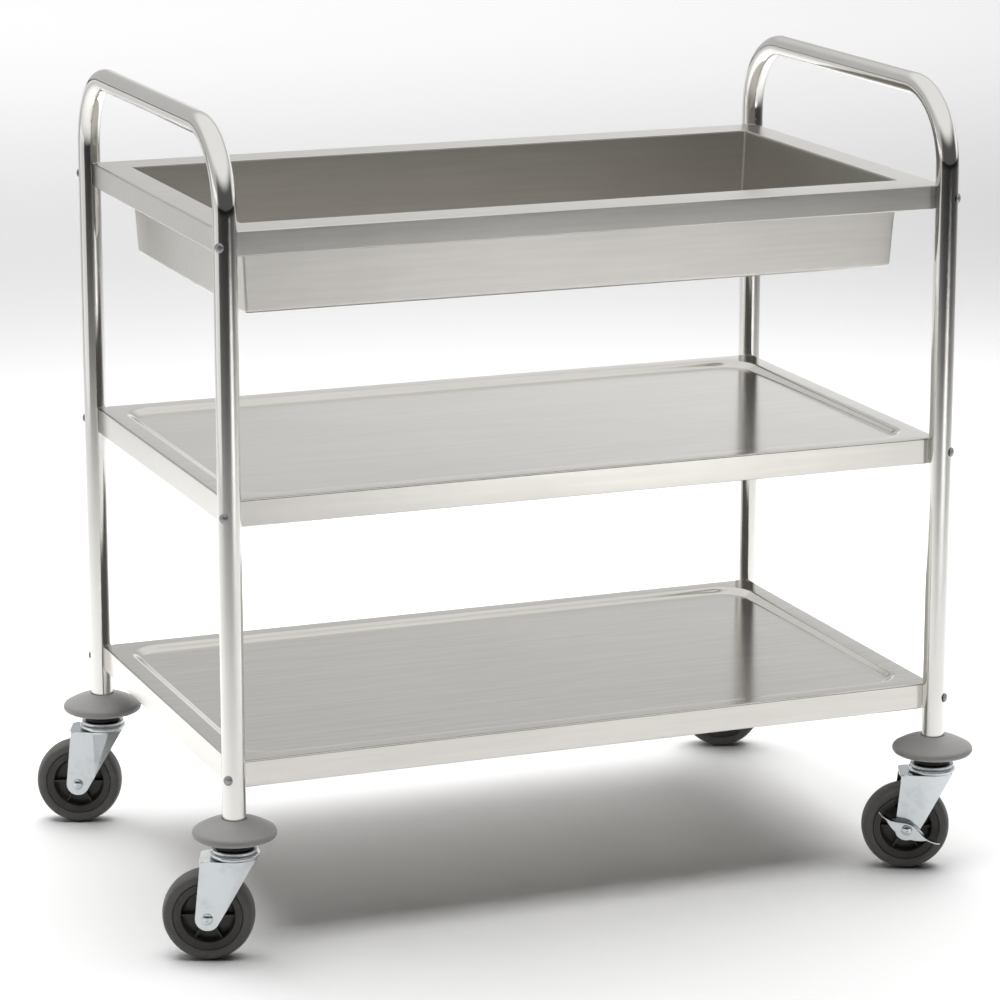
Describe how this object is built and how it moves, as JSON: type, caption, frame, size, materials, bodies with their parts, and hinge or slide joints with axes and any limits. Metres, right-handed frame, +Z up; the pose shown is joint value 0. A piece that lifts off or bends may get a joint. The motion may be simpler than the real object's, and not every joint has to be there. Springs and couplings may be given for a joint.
{
  "type": "food service trolley",
  "caption": "Stainless serving trolley with a deep tray above flat shelves, bent tube handles and swivel casters with round bumpers.",
  "frame": {"origin": "middle of the footprint of the whole trolley, on the floor", "axes": "+X along the length towards the braked casters, +Y from the front to the back, +Z up"},
  "size_m": [0.9564, 0.601, 0.905],
  "materials": {
    "polished_stainless": "polished stainless tube",
    "brushed_stainless": "brushed satin stainless sheet",
    "zinc_plate": "bright zinc plate",
    "screw_steel": "satin grey steel",
    "bumper_plastic": "fine satin moulded plastic",
    "tyre_rubber": "matt grey rubber",
    "hub_plastic": "satin moulded plastic",
    "seal_rubber": "black rubber",
    "nylon": "natural nylon"
  },
  "bodies": {
    "root": {"left_frame_tube": "polished_stainless", "right_frame_tube": "polished_stainless", "top_tray_frame": "brushed_stainless", "deep_tray": "brushed_stainless", "middle_shelf": "brushed_stainless", "bottom_shelf": "brushed_stainless", "top_front_left_screw": "screw_steel", "top_front_right_screw": "screw_steel", "top_back_left_screw": "screw_steel", "top_back_right_screw": "screw_steel", "middle_front_left_screw": "screw_steel", "middle_front_right_screw": "screw_steel", "middle_back_left_screw": "screw_steel", "middle_back_right_screw": "screw_steel", "bottom_front_left_screw": "screw_steel", "bottom_front_right_screw": "screw_steel", "bottom_back_left_screw": "screw_steel", "bottom_back_right_screw": "screw_steel", "front_left_bumper": "bumper_plastic", "front_left_expander": "nylon", "front_left_stem_bolt": "zinc_plate", "front_left_seal_ring": "seal_rubber", "front_left_swivel_head": "zinc_plate", "front_right_bumper": "bumper_plastic", "front_right_expander": "nylon", "front_right_stem_bolt": "zinc_plate", "front_right_seal_ring": "seal_rubber", "front_right_swivel_head": "zinc_plate", "back_left_bumper": "bumper_plastic", "back_left_expander": "nylon", "back_left_stem_bolt": "zinc_plate", "back_left_seal_ring": "seal_rubber", "back_left_swivel_head": "zinc_plate", "back_right_bumper": "bumper_plastic", "back_right_expander": "nylon", "back_right_stem_bolt": "zinc_plate", "back_right_seal_ring": "seal_rubber", "back_right_swivel_head": "zinc_plate"},
    "front_left_swivel": {"front_left_fork": "zinc_plate", "front_left_axle": "zinc_plate"},
    "front_left_wheel": {"front_left_tyre": "tyre_rubber", "front_left_hub": "hub_plastic", "front_left_bush": "nylon"},
    "front_right_swivel": {"front_right_fork": "zinc_plate", "front_right_axle": "zinc_plate"},
    "front_right_wheel": {"front_right_tyre": "tyre_rubber", "front_right_hub": "hub_plastic", "front_right_bush": "nylon"},
    "front_right_pedal": {"front_right_brake_pedal": "zinc_plate"},
    "back_left_swivel": {"back_left_fork": "zinc_plate", "back_left_axle": "zinc_plate"},
    "back_left_wheel": {"back_left_tyre": "tyre_rubber", "back_left_hub": "hub_plastic", "back_left_bush": "nylon"},
    "back_right_swivel": {"back_right_fork": "zinc_plate", "back_right_axle": "zinc_plate"},
    "back_right_wheel": {"back_right_tyre": "tyre_rubber", "back_right_hub": "hub_plastic", "back_right_bush": "nylon"},
    "back_right_pedal": {"back_right_brake_pedal": "zinc_plate"}
  },
  "joints": [
    {"name": "front_left_swivel_turn", "type": "hinge", "parent": "root", "child": "front_left_swivel", "pos_m": [-0.40206, -0.2548, 0.114], "axis": [0, 0, 1], "continuous": true},
    {"name": "front_left_wheel_spin", "type": "hinge", "parent": "front_left_swivel", "child": "front_left_wheel", "pos_m": [-0.42895, -0.24394, 0.05], "axis": [0.3746, 0.9272, 0], "continuous": true},
    {"name": "front_right_swivel_turn", "type": "hinge", "parent": "root", "child": "front_right_swivel", "pos_m": [0.43254, -0.2548, 0.114], "axis": [0, 0, 1], "continuous": true},
    {"name": "front_right_wheel_spin", "type": "hinge", "parent": "front_right_swivel", "child": "front_right_wheel", "pos_m": [0.40565, -0.24394, 0.05], "axis": [0.3746, 0.9272, 0], "continuous": true},
    {"name": "front_right_pedal_press", "type": "hinge", "parent": "front_right_swivel", "child": "front_right_pedal", "pos_m": [0.40565, -0.24394, 0.05], "axis": [0.3746, 0.9272, 0], "range_deg": [-34, 0]},
    {"name": "back_left_swivel_turn", "type": "hinge", "parent": "root", "child": "back_left_swivel", "pos_m": [-0.40206, 0.2548, 0.114], "axis": [0, 0, 1], "continuous": true},
    {"name": "back_left_wheel_spin", "type": "hinge", "parent": "back_left_swivel", "child": "back_left_wheel", "pos_m": [-0.42895, 0.26566, 0.05], "axis": [0.3746, 0.9272, 0], "continuous": true},
    {"name": "back_right_swivel_turn", "type": "hinge", "parent": "root", "child": "back_right_swivel", "pos_m": [0.43254, 0.2548, 0.114], "axis": [0, 0, 1], "continuous": true},
    {"name": "back_right_wheel_spin", "type": "hinge", "parent": "back_right_swivel", "child": "back_right_wheel", "pos_m": [0.40565, 0.26566, 0.05], "axis": [0.3746, 0.9272, 0], "continuous": true},
    {"name": "back_right_pedal_press", "type": "hinge", "parent": "back_right_swivel", "child": "back_right_pedal", "pos_m": [0.40565, 0.26566, 0.05], "axis": [0.3746, 0.9272, 0], "range_deg": [-34, 0]}
  ]
}
